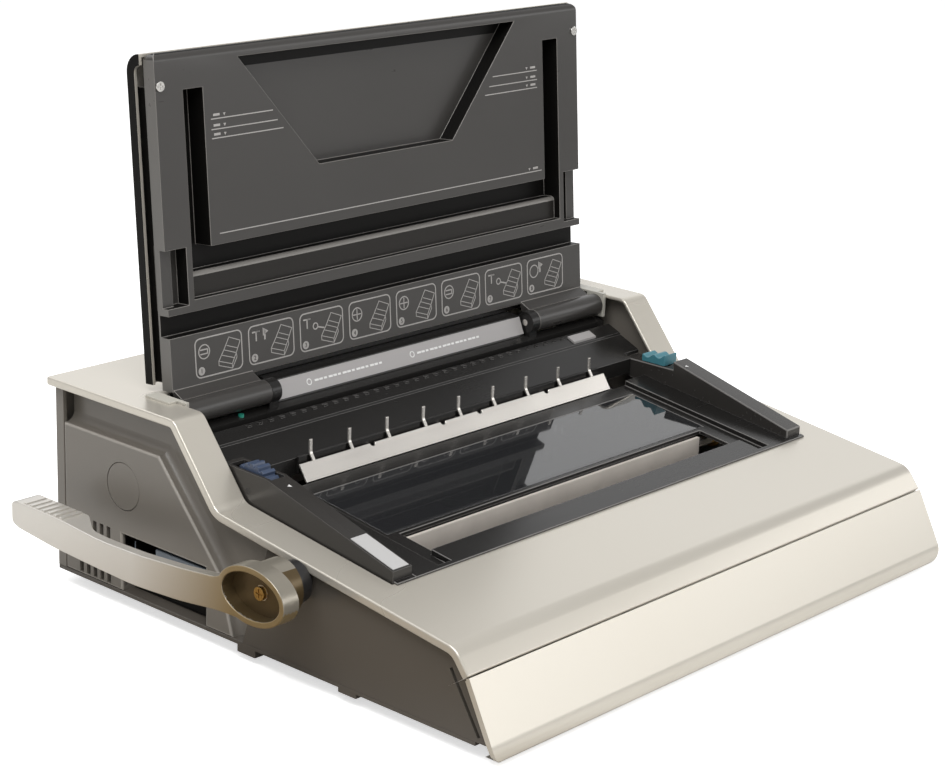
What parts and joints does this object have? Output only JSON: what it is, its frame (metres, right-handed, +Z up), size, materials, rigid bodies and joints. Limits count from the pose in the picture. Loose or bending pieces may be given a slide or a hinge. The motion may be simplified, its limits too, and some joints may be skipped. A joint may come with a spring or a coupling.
{
  "type": "wire binding machine",
  "caption": "Desk wire binding machine with a fold-back lid, a motor punch with a paper throat, a row of wire hooks, a side lever that works the wire-closing jaw, and a chip drawer.",
  "frame": {"origin": "middle of the bounding box on the desk surface, with the lid open and the lever at rest", "axes": "+X to the machine's right, +Y to the rear, +Z up"},
  "size_m": [0.53, 0.416, 0.3753],
  "materials": {
    "silver": "champagne silver paint on moulded plastic",
    "side_grey": "warm mid-grey moulding",
    "front_grey": "dark grey moulding",
    "deck_black": "black moulding with a satin sheen",
    "lid_grey": "satin dark grey moulding",
    "lever_silver": "light silver-grey moulding",
    "rubber": "black rubber",
    "steel": "bright sheet steel",
    "plate_steel": "plated sheet steel",
    "screw_steel": "plated screw",
    "bronze": "sintered bronze",
    "smoked": "smoked clear plastic with a mirror gloss",
    "label_grey": "plain grey label",
    "rail_grey": "plain light grey label",
    "cap_grey": "light grey moulding",
    "wheel_blue": "slate blue moulding",
    "teal": "teal moulding",
    "nylon": "natural nylon",
    "motor_can": "motor can",
    "board_green": "green circuit board with its parts",
    "lens_green": "green lens",
    "button_grey": "grey key",
    "black_plastic": "black moulding",
    "drawer_grey": "blue-grey moulding"
  },
  "bodies": {
    "body": {"base_pan": "front_grey", "rubber_feet": "rubber", "base_screws": "screw_steel", "top_shell": "silver", "front_panel": "silver", "rear_cover": "side_grey", "left_side": "side_grey", "right_side": "side_grey", "left_front_side": "front_grey", "right_front_side": "front_grey", "side_caps": "side_grey", "deck": "deck_black", "left_rail": "deck_black", "right_rail": "deck_black", "rail_label": "rail_grey", "window": "smoked", "hook_plate": "steel", "hook_bar": "deck_black", "wire_hooks": "steel", "punch_cover": "deck_black", "throat_wall": "deck_black", "label_plate": "label_grey", "hinge_caps": "cap_grey", "hinge_pins": "steel", "fixed_jaw": "plate_steel", "left_bracket": "plate_steel", "right_bracket": "plate_steel", "guide_rods": "steel", "shaft_bushes": "bronze", "inner_tray": "black_plastic", "control_board": "board_green", "lever_collar": "black_plastic", "wheel_axle": "steel", "left_frame": "plate_steel", "right_frame": "plate_steel", "punch_die": "plate_steel", "punch_guide": "plate_steel", "motor": "motor_can", "status_light": "lens_green", "power_inlet": "black_plastic", "drawer_runners": "front_grey"},
    "lid": {"lid_cover": "silver", "lid_tray": "lid_grey", "lid_screws": "screw_steel"},
    "lever": {"lever_arm": "lever_silver", "lever_shaft": "steel", "lever_screw": "screw_steel", "closing_eccentrics": "plate_steel"},
    "jaw": {"closing_jaw": "steel"},
    "drive": {"drive_shaft": "steel", "drive_eccentrics": "plate_steel", "drive_gear": "nylon"},
    "punch": {"punch_bar": "plate_steel", "punch_pins": "steel"},
    "pinion": {"motor_pinion": "bronze"},
    "wheel": {"size_wheel": "wheel_blue"},
    "slider": {"slide_button": "teal"},
    "key": {"punch_button": "button_grey"},
    "rocker": {"power_switch": "black_plastic"},
    "drawer": {"chip_drawer": "drawer_grey"}
  },
  "joints": [
    {"name": "lid_hinge", "type": "hinge", "parent": "body", "child": "lid", "pos_m": [0.02, 0.1035, 0.1405], "axis": [1, 0, 0], "range_deg": [0, 111]},
    {"name": "lever_turn", "type": "hinge", "parent": "body", "child": "lever", "pos_m": [0.02, -0.041, 0.07259], "axis": [1, 0, 0], "range_deg": [0, 105]},
    {"name": "jaw_slide", "type": "slide", "parent": "body", "child": "jaw", "axis": [0, -1, 0], "range_m": [0, 0.0104]},
    {"name": "drive_turn", "type": "hinge", "parent": "body", "child": "drive", "pos_m": [0.02, 0.149, 0.095], "axis": [1, 0, 0], "range_deg": [0, 120]},
    {"name": "punch_slide", "type": "slide", "parent": "body", "child": "punch", "axis": [0, -1, 0], "range_m": [0, 0.01]},
    {"name": "pinion_turn", "type": "hinge", "parent": "body", "child": "pinion", "pos_m": [0.02, 0.16712, 0.04781], "axis": [1, 0, 0], "range_deg": [-440, 0]},
    {"name": "wheel_turn", "type": "hinge", "parent": "body", "child": "wheel", "pos_m": [-0.189, 0.035, 0.105], "axis": [1, 0, 0], "range_deg": [-150, 150]},
    {"name": "button_slide", "type": "slide", "parent": "body", "child": "slider", "axis": [0, -1, 0], "range_m": [0, 0.008]},
    {"name": "key_press", "type": "slide", "parent": "body", "child": "key", "axis": [0, 0, -1], "range_m": [0, 0.002], "stiffness_N_per_m": 900, "springref_m": -0.001},
    {"name": "rocker_tilt", "type": "hinge", "parent": "body", "child": "rocker", "pos_m": [-0.09, 0.1965, 0.04], "axis": [1, 0, 0], "range_deg": [-12, 12]},
    {"name": "drawer_slide", "type": "slide", "parent": "body", "child": "drawer", "axis": [-1, 0, 0], "range_m": [0, 0.25]}
  ],
  "couplings": [
    {"joint": "jaw_slide", "follows": "lever_turn", "m_per_rad": 0.005675},
    {"joint": "punch_slide", "follows": "drive_turn", "m_per_rad": 0.0047747},
    {"joint": "pinion_turn", "follows": "drive_turn", "ratio": -3.6667}
  ]
}
